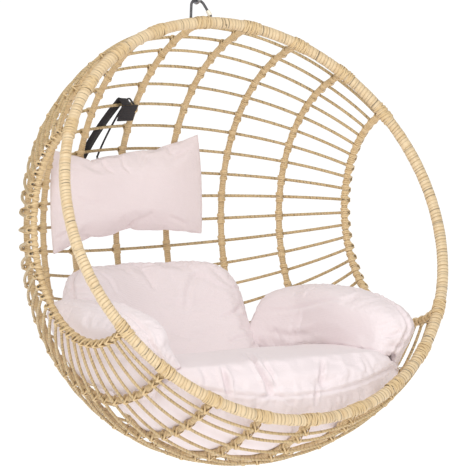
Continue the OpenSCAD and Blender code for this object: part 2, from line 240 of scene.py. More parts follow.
def wound(name, frame_at, s0, s1, radius, width, starts=1, segs=20, seed=0, groove=0.0005, lap=0.00022,
          closed=False, wobble=0.0006, shape=None, mat=None, body="basket", hand=1, fr=FR, jitter=0.00025, seam=0.7, crown=0.00012, wander=0.16):
    """A tube wound with flat strip. frame_at(s) gives (point, outward, sideways) arrays.
    shape(s, th, r) returns (r, dark, s) for local features."""
    length = s1 - s0
    pitch = starts * width
    turns = int(round(length / pitch)) if closed else int(math.ceil(length / pitch)) + 2
    if closed:
        pitch = length / turns
        width = pitch / starts
    M = len(fr)
    NT = starts * M
    K = turns * segs
    n = np.arange(NT)
    k = np.arange(K if closed else K + 1)
    q, m = n // M, n % M
    th = 2 * np.pi * k / segs
    begin = s0 if closed else s0 - pitch
    s = begin + pitch * (k[None, :] / segs) + pitch * (q[:, None] + fr[m][:, None]) / starts
    th2 = np.broadcast_to(th[None, :] * hand, s.shape).copy()
    # strip number, the same along one strip's one turn
    turn = np.floor((s - begin) / width + 1e-6).astype(int)
    lift = np.array([-groove, lap, crown, -lap])[m] if M == 4 else np.where(m == 0, -groove, 0.0)
    if M == 3:
        lift = np.array([-groove, lap, -lap])[m]
    r = radius + lift[:, None] + jitter * smooth_noise(turn * 1.0 + 0.37 * q[:, None], seed + 1, 1.0)
    r = r + jitter * 0.8 * smooth_noise(s, seed + 2, 0.03)
    s = s + wobble * smooth_noise(s, seed + 3, 0.04) * np.sin(th2 + 3 * smooth_noise(s, seed + 4, 0.12))
    s = s + width * wander * smooth_noise(turn + (fr[m][:, None] > 0.6), seed + 5, 1.0) * np.where(np.abs(fr[m][:, None] - 0.5) < 0.1, 0.5, 1.0)
    # the seams between turns are shadowed, some more than others
    dark = np.where(m[:, None] == 0, seam * (0.35 + 0.65 * hashed(turn, seed + 9) ** 1.5), 0.0) * np.ones_like(r)
    if shape:
        r, dark, s = shape(s, th2, r, dark)
    tone = hashed(turn // 1, seed + 6) * 0.6 + 0.4 * (0.5 + 0.5 * smooth_noise(s, seed + 7, 0.06))
    along = th2 / (2 * np.pi) * (2 * np.pi * radius) + turn * 0.173
    across = np.broadcast_to((fr[m] * width)[:, None], s.shape)
    if not closed:
        clamp = np.where(s <= s0, 0, np.where(s >= s1, 2, 1))
        s = np.clip(s, s0, s1)
    P, N, B = frame_at(s.ravel())
    V = P + r.ravel()[:, None] * (np.cos(th2).ravel()[:, None] * N + np.sin(th2).ravel()[:, None] * B)
    kk = len(k)
    nn, ki = np.meshgrid(np.arange(NT), np.arange(K), indexing="ij")
    if closed:
        a = nn * kk + ki
        b = nn * kk + (ki + 1) % K
        last = nn == NT - 1
        c = np.where(last, (ki + 1 + segs) % K, (nn + 1) * kk + (ki + 1) % K)
        d = np.where(last, (ki + segs) % K, (nn + 1) * kk + ki)
        F = np.stack([a, b, c, d], -1).reshape(-1, 4)
    else:
        a = nn * kk + ki
        b = nn * kk + ki + 1
        last = nn == NT - 1
        ok = ~last | (ki + 1 + segs <= K)
        c = np.where(last, np.minimum(ki + 1 + segs, K), (nn + 1) * kk + ki + 1)
        d = np.where(last, np.minimum(ki + segs, K), (nn + 1) * kk + ki)
        F = np.stack([a, b, c, d], -1)[ok]
        cl = clamp.ravel()[F]
        keep = ~((cl == 0).all(1) | (cl == 2).all(1))
        F = F[keep]
    if hand < 0:
        F = F[:, ::-1]
    used = np.unique(F)
    remap = np.full(len(V), -1)
    remap[used] = np.arange(len(used))
    attrs = {"tone": tone.ravel()[used], "dark": dark.ravel()[used],
             "strip": np.stack([along.ravel(), across.ravel(), turn.ravel() * 0.37], -1)[used]}
    return make(name, V[used], remap[F], body=body, attrs=attrs, mat=mat, weld=0.0 if closed else 2e-6, cap=not closed)


def hoop_frame(s):
    """along the hoop from its bottom, the way that goes up its right side first"""
    p = s / HR
    N = hoop_dir(np.stack([np.sin(p), 0 * p, -np.cos(p)], -1))
    return HC + HR * N, N, np.broadcast_to(W, N.shape)


def rib_g(k):
    return math.pi / 2 + math.asin(rib_cen(k) / rib_rad(k))


def rib_frame(k):
    R, c, x = rib_rad(k), rib_cen(k), rib_x(k)

    def at(s):
        p = s / R
        N = hoop_dir(np.stack([0 * p, np.cos(p), np.sin(p)], -1))
        P = hoop_pt(np.stack([x + 0 * p, c + R * np.cos(p), R * np.sin(p)], -1))
        return P, N, np.broadcast_to(X, N.shape)
    return at


def rod_frame(n):
    a, e = rod_a(n), rod_trim(n)
    r, c = cut(a)
    R, p0 = r + ROD_OFF, polar(0, a)
    da = np.array([math.cos(a), math.sin(a)])
    de = np.array([math.cos(a + e), math.sin(a + e)])

    def at(s):
        b = s / R
        q = c + R * np.cos(b) - p0
        yz = p0 * da + q[:, None] * de
        P = hoop_pt(np.stack([R * np.sin(b), yz[:, 0], yz[:, 1]], -1))
        N = hoop_dir(np.stack([np.sin(b), np.cos(b) * de[0], np.cos(b) * de[1]], -1))
        S = np.broadcast_to(hoop_dir(np.array([0, -de[1], de[0]])), N.shape)
        return P, N, S
    return at, R


# ------------------------------------------------------------------ materials
def principled(name):
    mat = bpy.data.materials.new(name)
    mat.use_nodes = True
    nt = mat.node_tree
    b = nt.nodes["Principled BSDF"]
    return mat, nt, b


def node(nt, kind, **kw):
    n = nt.nodes.new(kind)
    for k, v in kw.items():
        setattr(n, k, v)
    return n


def ramp(nt, stops):
    r = node(nt, "ShaderNodeValToRGB")
    el = r.color_ramp.elements
    while len(el) < len(stops):
        el.new(0.5)
    for e, (p, c) in zip(el, stops):
        e.position, e.color = p, (*c, 1) if len(c) == 3 else c
    return r


def mixrgb(nt, fac, a, b, kind="MIX"):
    n = node(nt, "ShaderNodeMix", data_type="RGBA", blend_type=kind)
    for sock, v in ((n.inputs["Factor"], fac), (n.inputs[6], a), (n.inputs[7], b)):
        if isinstance(v, bpy.types.NodeSocket):
            nt.links.new(v, sock)
        elif isinstance(v, (int, float)):
            sock.default_value = v
        else:
            sock.default_value = (*v, 1)
    return n.outputs[2]


def math_node(nt, op, a, b=0.0, clamp=False):
    n = node(nt, "ShaderNodeMath", operation=op, use_clamp=clamp)
    for i, v in enumerate((a, b)):
        if isinstance(v, bpy.types.NodeSocket):
            nt.links.new(v, n.inputs[i])
        else:
            n.inputs[i].default_value = v
    return n.outputs[0]


def rattan(name, low, mid, high, rough=0.38):
    """flat synthetic rattan: tone from strip to strip, lengthwise grain, darker in the seams"""
    mat, nt, b = principled(name)
    tone = node(nt, "ShaderNodeAttribute", attribute_name="tone").outputs["Fac"]
    dark = node(nt, "ShaderNodeAttribute", attribute_name="dark").outputs["Fac"]
    strip = node(nt, "ShaderNodeAttribute", attribute_name="strip").outputs["Vector"]
    # grain: stretched along the strip
    mp = node(nt, "ShaderNodeMapping")
    mp.inputs["Scale"].default_value = (60.0, 2600.0, 1.0)
    nt.links.new(strip, mp.inputs["Vector"])
    grain = node(nt, "ShaderNodeTexNoise")
    grain.inputs["Scale"].default_value = 1.0
    grain.inputs["Detail"].default_value = 3.0
    nt.links.new(mp.outputs[0], grain.inputs["Vector"])
    geo = node(nt, "ShaderNodeTexCoord")
    blot = node(nt, "ShaderNodeTexNoise")
    blot.inputs["Scale"].default_value = 55.0
    blot.inputs["Detail"].default_value = 4.0
    nt.links.new(geo.outputs["Object"], blot.inputs["Vector"])
    t = math_node(nt, "MULTIPLY_ADD", tone, 0.55)
    t2 = math_node(nt, "MULTIPLY", blot.outputs["Fac"], 0.5)
    t3 = math_node(nt, "MULTIPLY", grain.outputs["Fac"], 0.35)
    tt = math_node(nt, "ADD", math_node(nt, "ADD", t, t2), t3)
    tt = math_node(nt, "SUBTRACT", tt, 0.22)
    cr = ramp(nt, [(0.0, low), (0.5, mid), (1.0, high)])
    nt.links.new(tt, cr.inputs["Fac"])
    # near-black where the dark attribute is set: painted shade in the seams and gaps, and the black steel in the gaps
    col = mixrgb(nt, dark, cr.outputs["Color"], (0.018, 0.014, 0.011))
    nt.links.new(col, b.inputs["Base Color"])
    rr = math_node(nt, "MULTIPLY_ADD", grain.outputs["Fac"], 0.25)
    nt.nodes[-1].inputs[2].default_value = rough - 0.12
    nt.links.new(rr, b.inputs["Roughness"])
    b.inputs["Specular IOR Level"].default_value = 0.6
    bump = node(nt, "ShaderNodeBump")
    bump.inputs["Strength"].default_value = 0.35
    bump.inputs["Distance"].default_value = 0.0006
    nt.links.new(grain.outputs["Fac"], bump.inputs["Height"])
    nt.links.new(bump.outputs["Normal"], b.inputs["Normal"])
    return mat


M_HOOP = rattan("rattan_hoop", (0.33, 0.185, 0.070), (0.58, 0.390, 0.188), (0.715, 0.55, 0.335))
M_RIB = rattan("rattan_rib", (0.26, 0.145, 0.048), (0.51, 0.328, 0.130), (0.66, 0.48, 0.262))
M_ROD = rattan("rattan_rod", (0.21, 0.118, 0.040), (0.40, 0.264, 0.103), (0.57, 0.42, 0.222))
M_TIE = rattan("rattan_tie", (0.27, 0.150, 0.050), (0.52, 0.338, 0.137), (0.68, 0.50, 0.272))


def metal(name, colour, rough, metallic=0.0, scale=900.0, bump=0.15):
    mat, nt, b = principled(name)
    tc = node(nt, "ShaderNodeTexCoord")
    n1 = node(nt, "ShaderNodeTexNoise")
    n1.inputs["Scale"].default_value = scale
    n1.inputs["Detail"].default_value = 4.0
    n2 = node(nt, "ShaderNodeTexNoise")
    n2.inputs["Scale"].default_value = 70.0
    n2.inputs["Detail"].default_value = 5.0
    for n in (n1, n2):
        nt.links.new(tc.outputs["Object"], n.inputs["Vector"])
    cr = ramp(nt, [(0.3, [c * 0.72 for c in colour]), (0.7, [min(1, c * 1.25) for c in colour])])
    nt.links.new(n2.outputs["Fac"], cr.inputs["Fac"])
    nt.links.new(cr.outputs["Color"], b.inputs["Base Color"])
    b.inputs["Metallic"].default_value = metallic
    rr = math_node(nt, "MULTIPLY_ADD", n2.outputs["Fac"], 0.22)
    nt.nodes[-1].inputs[2].default_value = rough - 0.1
    nt.links.new(rr, b.inputs["Roughness"])
    bp = node(nt, "ShaderNodeBump")
    bp.inputs["Strength"].default_value = bump
    bp.inputs["Distance"].default_value = 0.0002
    nt.links.new(n1.outputs["Fac"], bp.inputs["Height"])
    nt.links.new(bp.outputs["Normal"], b.inputs["Normal"])
    return mat


M_LOOP = metal("loop_paint", (0.085, 0.082, 0.088), 0.42)
M_HOOK = metal("hook_steel", (0.32, 0.32, 0.34), 0.38, metallic=0.85)
M_PIN = metal("pin_steel", (0.55, 0.55, 0.57), 0.3, metallic=1.0)
M_FRAME = metal("frame_paint", (0.03, 0.027, 0.025), 0.5)
M_SLEEVE = metal("sleeve_plastic", (0.80, 0.74, 0.62), 0.55, scale=300.0)


def fabric(name, low, high, weave=1500.0, bump=0.5, sheen=0.25, rough=0.9, wrinkle=0.35):
    mat, nt, b = principled(name)
    tc = node(nt, "ShaderNodeTexCoord")
    obj = tc.outputs["Object"]
    # weave, from two crossed waves that don't need a UV map
    w1 = node(nt, "ShaderNodeTexWave", wave_type="BANDS", bands_direction="X")
    w2 = node(nt, "ShaderNodeTexWave", wave_type="BANDS", bands_direction="Z")
    w3 = node(nt, "ShaderNodeTexWave", wave_type="BANDS", bands_direction="Y")
    for w in (w1, w2, w3):
        w.inputs["Scale"].default_value = weave / 20.0
        w.inputs["Distortion"].default_value = 0.8
        w.inputs["Detail"].default_value = 1.0
        w.inputs["Detail Scale"].default_value = 0.4
        nt.links.new(obj, w.inputs["Vector"])
    weave_h = math_node(nt, "ADD", math_node(nt, "ADD", w1.outputs["Fac"], w2.outputs["Fac"]), w3.outputs["Fac"])
    blot = node(nt, "ShaderNodeTexNoise")
    blot.inputs["Scale"].default_value = 6.0
    blot.inputs["Detail"].default_value = 4.0
    nt.links.new(obj, blot.inputs["Vector"])
    slub = node(nt, "ShaderNodeTexNoise")
    slub.inputs["Scale"].default_value = 420.0
    slub.inputs["Detail"].default_value = 2.0
    nt.links.new(obj, slub.inputs["Vector"])
    f = math_node(nt, "ADD", math_node(nt, "MULTIPLY", blot.outputs["Fac"], 0.6),
                  math_node(nt, "MULTIPLY", slub.outputs["Fac"], 0.4))
    cr = ramp(nt, [(0.25, low), (0.75, high)])
    nt.links.new(f, cr.inputs["Fac"])
    nt.links.new(cr.outputs["Color"], b.inputs["Base Color"])
    rr = math_node(nt, "MULTIPLY_ADD", slub.outputs["Fac"], 0.12)
    nt.nodes[-1].inputs[2].default_value = rough - 0.06
    nt.links.new(rr, b.inputs["Roughness"])
    b.inputs["Sheen Weight"].default_value = sheen
    b.inputs["Sheen Roughness"].default_value = 0.5
    b.inputs["Specular IOR Level"].default_value = 0.25
    wr = node(nt, "ShaderNodeTexNoise")
    wr.inputs["Scale"].default_value = 16.0
    wr.inputs["Detail"].default_value = 3.0
    wr.inputs["Distortion"].default_value = 1.2
    nt.links.new(obj, wr.inputs["Vector"])
    b1 = node(nt, "ShaderNodeBump")
    b1.inputs["Strength"].default_value = wrinkle
    b1.inputs["Distance"].default_value = 0.006
    nt.links.new(wr.outputs["Fac"], b1.inputs["Height"])
    b2 = node(nt, "ShaderNodeBump")
    b2.inputs["Strength"].default_value = bump
    b2.inputs["Distance"].default_value = 0.0003
    nt.links.new(weave_h, b2.inputs["Height"])
    nt.links.new(b1.outputs["Normal"], b2.inputs["Normal"])
    nt.links.new(b2.outputs["Normal"], b.inputs["Normal"])
    return mat


M_CLOTH = fabric("cushion_canvas", (0.785, 0.695, 0.705), (0.835, 0.745, 0.755))
M_PILLOW = fabric("pillow_canvas", (0.80, 0.695, 0.70), (0.85, 0.75, 0.755))
M_WEB = fabric("webbing_black", (0.022, 0.020, 0.022), (0.045, 0.040, 0.042), weave=2600.0, bump=0.9, sheen=0.1,
               wrinkle=0.1)

# CAD nodes that keep their own shape
for n, o in nodes.items():
    m = (M_LOOP if n == "hanging_loop" else M_SLEEVE if n == "loop_sleeve" else
         M_PIN if n in ("carabiner_pin", "carabiner_spring") else
         M_HOOK if n.startswith("carabiner") else M_FRAME)
    for i in range(max(1, len(o.material_slots))):
        if i < len(o.material_slots):
            o.material_slots[i].material = m
    if not o.material_slots:
        o.data.materials.append(m)

# ------------------------------------------------------------------ windings
# gaps in the hoop's winding, painted dark for the black frame showing through and for painted shade in the narrow gap,
# as angles from its bottom (up the right side)
HOOP_GAPS = []


def hoop_angle(px, py):
    """angle from the bottom of the hoop point nearest to an image point"""
    p = np.linspace(0, 2 * np.pi, 3000, endpoint=False)
    P, N, B = hoop_frame(p * HR)
    d = P - CAM
    z = -(d @ BACK)
    u, v = 235 + FOCAL * (d @ RIGHT) / z, 235 - FOCAL * (d @ UP) / z
    return p[np.argmin((u - px) ** 2 + (v - py) ** 2)]


for px, py, deep, half in ((223.5, 23.5, 1.0, 0.0013), (155, 369, 0.9, 0.0011), (362, 411, 1.0, 0.0012),
                           (392, 393, 1.0, 0.0012), (431, 341, 1.0, 0.0012), (160, 21, 0.6, 0.0008),
                           (125, 46, 0.7, 0.0009), (118, 327, 0.6, 0.0007), (123, 333, 0.6, 0.0007)):
    HOOP_GAPS.append((hoop_angle(px, py) * HR, deep, half))


def hoop_shape(s, th, r, dark):
    L = 2 * np.pi * HR
    for i, (sg, deep, half) in enumerate(HOOP_GAPS):
        d = (s - sg + L / 2) % L - L / 2
        d = d - 0.0012 * np.sin(th + i)
        # where the strips part the winding sinks to the tube and is painted dark: the black frame and painted shade in
        # the gap
        near = np.abs(d) < half * 0.9
        r = np.where(near, TUBE_R + 0.00005 + (1 - deep) * 0.001, r)
        dark = np.where(near, deep, dark)
    for k in range(-4, 5):
        for end in (0, 1):
            sj = (PITCH * k if end == 0 else math.pi - PITCH * k) * HR
            d = (s - sj + L / 2) % L - L / 2
            # the winding is built up where a rib is bound in
            r = r + 0.0010 * np.exp(-(d / 0.016) ** 2)
    r = r + 0.00035 * smooth_noise(s, 91, 0.012) * np.exp(-((np.cos(th - 1.0) - 1) / 0.9) ** 2)
    return r, dark, s


hoop_wind = wound("hoop_winding", hoop_frame, 0.0, 2 * np.pi * HR, 0.0141, 0.0092, starts=1, segs=36, seed=11,
                  closed=True, shape=hoop_shape, mat=M_HOOP, groove=0.0008, lap=0.00034, crown=0.00016,
                  fr=np.array([0.0, 0.075, 0.5, 0.925]), seam=1.0, wander=0.30, wobble=0.0010)
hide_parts("hoop_wrap")

RIB_NAMES = {0: "centre", -1: "left_1", -2: "left_2", -3: "left_3", -4: "armhole_left",
             1: "right_1", 2: "right_2", 3: "right_3", 4: "armhole_right"}


def crossing_s(n, k):
    """arc place on rib k where rod n crosses it"""
    a = rod_a(n)
    p = polar(k, a)
    y, z = p * math.cos(a) - rib_cen(k), p * math.sin(a)
    return math.atan2(z, y) * rib_rad(k)


for k in range(-4, 5):
    R, g = rib_rad(k), rib_g(k)
    cross = np.array([crossing_s(n, k) for n in range(1, RODS + 1)])
    trim = 0.0105 / R

    def rib_shape(s, th, r, dark, cross=cross, k=k):
        j = np.argmin(np.abs(s[..., None] - cross), -1)
        d = s - cross[j]
        r = r + 0.0004 * np.exp(-(d / 0.007) ** 2)
        # the steel shows above each crossing on its left, where the strips part; the patch is painted near-black, for
        # the black steel and for painted shade in the gap beside the rod
        steel_and_shade_gap = (np.cos(th) < 0.5) & (((np.sin(th) > 0.5) & (np.abs(np.abs(d) - 0.0060) < 0.0016))
                                     | ((np.sin(th) < -0.55) & (np.abs(d - 0.0060) < 0.0014)))
        r = np.where(steel_and_shade_gap, RIB_R + 0.0002, r)
        dark = np.where(steel_and_shade_gap, 0.9, dark)
        return r, dark, s

    ob = wound("winding_" + RIB_NAMES[k], rib_frame(k), -(g - trim) * R, (g - trim) * R, 0.0080, 0.0052,
               starts=1 if abs(k) == 4 else 3, segs=14, seed=40 + k, shape=rib_shape, mat=M_RIB, groove=0.0007,
               lap=0.0003, seam=0.85, crown=0.0003, wobble=0.0005, hand=1 if k % 2 else -1)
    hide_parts("rib_wraps")

FR3 = np.array([0.0, 0.12, 0.88])
groups = [(1, 15), (16, 30)]
for gi, (n0, n1) in enumerate(groups):
    objs = []
    for n in range(n0, n1 + 1):
        at, R = rod_frame(n)
        half = cross_b(n, 4) + math.radians(0.4)
        objs.append(wound(f"rod_winding_{n:02d}", at, -half * R, half * R, 0.0039, 0.0098, starts=1, segs=12,
                          seed=200 + n, mat=M_ROD, groove=0.00035, lap=0.00012, wobble=0.0003, fr=FR3,
                          body=None, jitter=0.00012, seam=0.75))
    # one piece for each group of fifteen rods
    bpy.ops.object.select_all(action="DESELECT")
    for o in objs:
        o.select_set(True)
    bpy.context.view_layer.objects.active = objs[0]
    bpy.ops.object.join()
    objs[0].name = ("rod_windings_upper", "rod_windings_lower")[gi]
    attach(objs[0], "basket")
    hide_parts(("rod_wraps_upper", "rod_wraps_lower")[gi])


# ------------------------------------------------------------------ strips
def ribbon(path, normal, width, thick, closed=False, crown=0.25):
    """a flat strip along path (n,3) with its face towards normal (n,3): a six-sided section"""
    P, N = np.asarray(path, float), np.asarray(normal, float)
    if closed:
        T = np.roll(P, -1, 0) - np.roll(P, 1, 0)
    else:
        T = np.gradient(P, axis=0)
    T /= np.linalg.norm(T, axis=1)[:, None] + 1e-12
    N = N - (N * T).sum(1)[:, None] * T
    N /= np.linalg.norm(N, axis=1)[:, None] + 1e-12
    B = np.cross(T, N)
    w = np.broadcast_to(np.asarray(width, float), (len(P),))[:, None] / 2
    prof = [(-1, 0), (-0.86, 1), (0, 1 + crown), (0.86, 1), (1, 0), (0, -0.1)]
    V = np.stack([P + B * w * a + N * thick * b for a, b in prof], 1).reshape(-1, 3)
    m = len(prof)
    F = grid_faces(len(P), m, close_u=closed, close_v=True)
    faces = F.tolist()
    if not closed:
        faces.append(list(range(m))[::-1])
        faces.append([(len(P) - 1) * m + i for i in range(m)])
    s = np.concatenate([[0], np.cumsum(np.linalg.norm(np.diff(P, axis=0), axis=1))])
    at = np.stack([np.repeat(s, m), np.tile(np.array([a for a, b in prof]) * 0.0025, len(P)), np.zeros(len(P) * m)], -1)
    return V, faces, at


class Bag:
    """collects many small meshes into one piece"""

    def __init__(self):
        self.V, self.F, self.A, self.T, self.n = [], [], [], [], 0

    def add(self, V, F, A, tone):
        self.V.append(V)
        self.F += [[i + self.n for i in f] for f in F]
        self.A.append(A)
        self.T.append(np.full(len(V), tone))
        self.n += len(V)

    def piece(self, name, mat, slot, *replaced, body="basket"):
        ob = make(name, np.concatenate(self.V), self.F, body=body, mat=mat,
                  attrs={"tone": np.concatenate(self.T), "strip": np.concatenate(self.A),
                         "dark": np.zeros(self.n)})
        if replaced:
            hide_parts(*replaced)
        return ob


def lash_loop(spread, reach, rib_r=RIB_WRAP_R + 0.0006, rod_r=ROD_R + 0.0005, n=56, turns=1):
    """A closed loop that crosses over the rod and passes behind the rib on either side of it, pulled taut.
    Local axes: x along the rod, y outwards, z along the rib."""
    t = np.linspace(0, 1, n, endpoint=False)
    keys = np.array([
        (0, ROD_OFF + rod_r, 0), (reach, ROD_OFF * 0.5, spread * 0.7), (reach * 0.9, 0, spread), (0, -rib_r, spread),
        (-reach * 0.9, 0, spread), (-reach, ROD_OFF * 0.5, spread * 0.7),
        (0, ROD_OFF + rod_r + 0.0008, 0),
        (reach, ROD_OFF * 0.5, -spread * 0.7), (reach * 0.9, 0, -spread), (0, -rib_r, -spread),
        (-reach * 0.9, 0, -spread), (-reach, ROD_OFF * 0.5, -spread * 0.7)])
    m = len(keys)
    u = t * m
    i = np.floor(u).astype(int) % m
    f = (u - np.floor(u))[:, None]
    p0, p1, p2, p3 = keys[(i - 1) % m], keys[i], keys[(i + 1) % m], keys[(i + 2) % m]
    P = 0.5 * ((2 * p1) + (p2 - p0) * f + (2 * p0 - 5 * p1 + 4 * p2 - p3) * f ** 2 + (3 * p1 - p0 - 3 * p2 + p3) * f ** 3)
    for it in range(160):
        P = P + 0.35 * ((np.roll(P, 1, 0) + np.roll(P, -1, 0)) / 2 - P)
        # keep the loop's turns behind the rib apart from the rod
        back = P[:, 1] < 0
        P[back, 2] += 0.2 * (np.sign(P[back, 2]) * spread - P[back, 2])
        for _ in range(2):
            d = np.hypot(P[:, 0], P[:, 1])
            push = d < rib_r
            P[push, 0] *= rib_r / d[push]
            P[push, 1] *= rib_r / d[push]
            y, z = P[:, 1] - ROD_OFF, P[:, 2]
            d = np.hypot(y, z)
            push = d < rod_r
            P[push, 1] = ROD_OFF + y[push] * rod_r / d[push]
            P[push, 2] = z[push] * rod_r / d[push]
    # the strip lies flat on whichever of the two it touches
    w_rib = np.exp(-(np.hypot(P[:, 0], P[:, 1]) - rib_r) / 0.0012)[:, None]
    w_rod = np.exp(-(np.hypot(P[:, 1] - ROD_OFF, P[:, 2]) - rod_r) / 0.0012)[:, None]
    N = (w_rib * np.stack([P[:, 0], P[:, 1], 0 * P[:, 0]], -1) / rib_r
         + w_rod * np.stack([0 * P[:, 0], P[:, 1] - ROD_OFF, P[:, 2]], -1) / rod_r
         + 0.15 * np.stack([P[:, 0], P[:, 1] - 0.004, P[:, 2]], -1) / 0.012)
    for _ in range(3):
        N = (np.roll(N, 1, 0) + 2 * N + np.roll(N, -1, 0)) / 4
    return P, N


LOOPS = [lash_loop(0.0062, 0.0085), lash_loop(0.0105, 0.0095, rib_r=RIB_WRAP_R + 0.0013, rod_r=ROD_R + 0.0012)]


def place_loop(P, N, n, k, scale=1.0, twist=0.0, flip=1):
    """lays a local loop at the crossing of rod n and rib k"""
    a = rod_a(n)
    b = cross_b(n, k)
    at, R = rod_frame(n)
    c, out, side = at(np.array([b * R]))
    c, out, side = c[0], out[0], side[0]
    along = np.cross(side, out)
    along /= np.linalg.norm(along)
    if along[0] < 0:
        along = -along
    # the rib's own outward direction, so that the loop hugs it
    rk, ck = rib_rad(k), rib_cen(k)
    s = crossing_s(n, k)
    pr, nr, xr = rib_frame(k)(np.array([s]))
    pr, nr = pr[0], nr[0]
    tr = np.cross(X, nr)
    Q = P.copy()
    Q[:, 2] *= flip
    M = N.copy()
    M[:, 2] *= flip
    # x follows the rod, y and z follow the rib; y = 0 on the rib's centre line
    ax = along - 0.0
    ay = out
    az = np.cross(ax, ay)
    az = az if az @ tr > 0 else -az
    base = c - ay * ROD_OFF
    V = base + Q[:, 0:1] * ax + Q[:, 1:2] * ay + Q[:, 2:3] * az
    NN = M[:, 0:1] * ax + M[:, 1:2] * ay + M[:, 2:3] * az
    return V, NN


def lash(bag, n, k, seed):
    r = np.random.default_rng(seed)
    for j, (P, N) in enumerate(LOOPS):
        V, NN = place_loop(P, N, n, k, flip=1 if (n + j) % 2 else -1)
        v, f, a = ribbon(V, NN, 0.0046 * (1 + 0.12 * r.uniform(-1, 1)), 0.0008, closed=True)
        bag.add(v, f, a, r.uniform(0.25, 0.95))


bags = {"ties_centre": ([0], "lashings"), "ties_left": ([-3, -2, -1], "lashings"),
        "ties_right": ([1, 2, 3], "lashings"), "ties_ends": ([-4, 4], "rod_end_knots")}
for name, (ks, cad) in bags.items():
    bag = Bag()
    for k in ks:
        for n in range(1, RODS + 1):
            lash(bag, n, k, 1000 + n * 10 + k)
    bag.piece(name, M_TIE, "rattan_tie", cad)

# bindings where each rib meets the hoop: crossed strips round the hoop tube
bag = Bag()
for k in range(-4, 5):
    for end in (0, 1):
        r = np.random.default_rng(500 + 2 * k + end)
        p0 = PITCH * k if end == 0 else math.pi - PITCH * k
        for j in range(9):
            off = (j - 4) * 0.0050 + r.uniform(-0.0012, 0.0012)
            slant = r.uniform(-0.32, 0.32)
            rad = WRAP_R + 0.0006 + r.uniform(0, 0.0006) + (0.0006 if j % 2 else 0)
            th = np.linspace(0, 2 * np.pi, 40, endpoint=False)
            ss = p0 * HR + off + rad * math.tan(slant) * np.cos(th + r.uniform(-0.5, 0.5))
            P, N, B = hoop_frame(ss)
            dirn = np.cos(th)[:, None] * N + np.sin(th)[:, None] * B
            v, f, a = ribbon(P + rad * dirn, dirn, 0.0048, 0.0008, closed=True)
            bag.add(v, f, a, r.uniform(0.2, 1.0))
bag.piece("ties_hoop_joints", M_TIE, "rattan_tie")

# ------------------------------------------------------------------ soft parts
def sp(v, e):
    return np.sign(v) * np.abs(v) ** e


def ball(nu, nv, e1, e2):
    th = 2 * np.pi * np.arange(nu) / nu
    ph = -np.pi / 2 + np.pi * np.arange(1, nv) / nv
    ph, th = np.meshgrid(ph, th, indexing="ij")
    P = np.stack([sp(np.cos(ph), e1) * sp(np.cos(th), e2), sp(np.cos(ph), e1) * sp(np.sin(th), e2), sp(np.sin(ph), e1)], -1)
    P = np.concatenate([[[0, 0, -1]], P.reshape(-1, 3), [[0, 0, 1]]])
    F = []
    for i in range(nu):
        F.append([0, 1 + (i + 1) % nu, 1 + i])
    F += (grid_faces(nv - 1, nu, close_v=True) + 1).tolist()
    last = len(P) - 1
    for i in range(nu):
        F.append([1 + (nv - 2) * nu + i, 1 + (nv - 2) * nu + (i + 1) % nu, last])
    return P, F


def coords(me):
    co = np.empty(len(me.vertices) * 3, np.float32)
    me.vertices.foreach_get("co", co)
    return co.reshape(-1, 3).astype(float)


def normals(me):
    no = np.empty(len(me.vertices) * 3, np.float32)
    me.vertices.foreach_get("normal", no)
    return no.reshape(-1, 3).astype(float)


def move_to(me, co):
    me.vertices.foreach_set("co", np.asarray(co, np.float32).ravel())
    me.update()


def bake(ob):
    """keeps what the modifiers make and drops them"""
    bpy.context.view_layer.update()
    dg = bpy.context.evaluated_depsgraph_get()
    me = bpy.data.meshes.new_from_object(ob.evaluated_get(dg))
    old = ob.data
    ob.modifiers.clear()
    ob.data = me
    bpy.data.meshes.remove(old)


def remesh(ob, size):
    m = ob.modifiers.new("remesh", "REMESH")
    m.mode, m.voxel_size, m.use_smooth_shade = "VOXEL", size, True
    bake(ob)


def inflate(ob, pins, frames, pressure, slack, cap, mass=0.12, bend=0.06):
    """blows the cover up: its seam stays, its panels buckle and fill"""
    base = coords(ob.data)
    g = ob.vertex_groups.new(name="pin")
    g.add([int(i) for i in pins], 1.0, "REPLACE")
    m = ob.modifiers.new("cloth", "CLOTH")
    st = m.settings
    st.quality, st.mass, st.air_damping = 6, mass, 2.0
    st.tension_stiffness = st.compression_stiffness = 28
    st.shear_stiffness, st.bending_stiffness = 9, bend
    st.use_pressure, st.uniform_pressure_force = True, pressure
    st.shrink_min = slack
    st.effector_weights.gravity = 0
    st.vertex_group_mass = "pin"
    m.point_cache.frame_start, m.point_cache.frame_end = 1, frames
    for f in range(1, frames + 1):
        scene.frame_set(f)
    dg = bpy.context.evaluated_depsgraph_get()
    ev = ob.evaluated_get(dg)
    co = coords(ev.to_mesh())
    ev.to_mesh_clear()
    ob.modifiers.clear()
    ob.vertex_groups.clear()
    scene.frame_set(1)
    d = co - base
    far = np.linalg.norm(d, axis=1)[:, None] + 1e-9
    move_to(ob.data, base + d * np.minimum(1, cap / far))


def subdivide(ob):
    m = ob.modifiers.new("sub", "SUBSURF")
    m.levels = m.render_levels = 1
    bake(ob)


def line_distance(V, path, reach):
    """distance of each point to a polyline, and the place along it from 0 to 1; far points get 1 m"""
    path = np.asarray(path, float)
    best, place = np.full(len(V), 1.0), np.zeros(len(V))
    near = np.where(((V > path.min(0) - reach) & (V < path.max(0) + reach)).all(1))[0]
    Q, n = V[near], len(path) - 1
    for i in range(n):
        a, e = path[i], path[i + 1] - path[i]
        t = np.clip((Q - a) @ e / (e @ e + 1e-12), 0, 1)
        d = np.linalg.norm(Q - a - t[:, None] * e, axis=1)
        ok = d < best[near]
        best[near[ok]] = d[ok]
        place[near[ok]] = (i + t[ok]) / n
    return best, place


def crease(V, N, path, depth, width, taper=True, lip=0.35):
    d, t = line_distance(V, path, width * 4)
    w = np.sin(np.pi * np.clip(t, 0.02, 0.98)) ** 0.7 if taper else 1.0
    return V + N * (w * depth * (-np.exp(-(d / width) ** 2) + lip * np.exp(-((d - 2.1 * width) / width) ** 2)))[:, None]


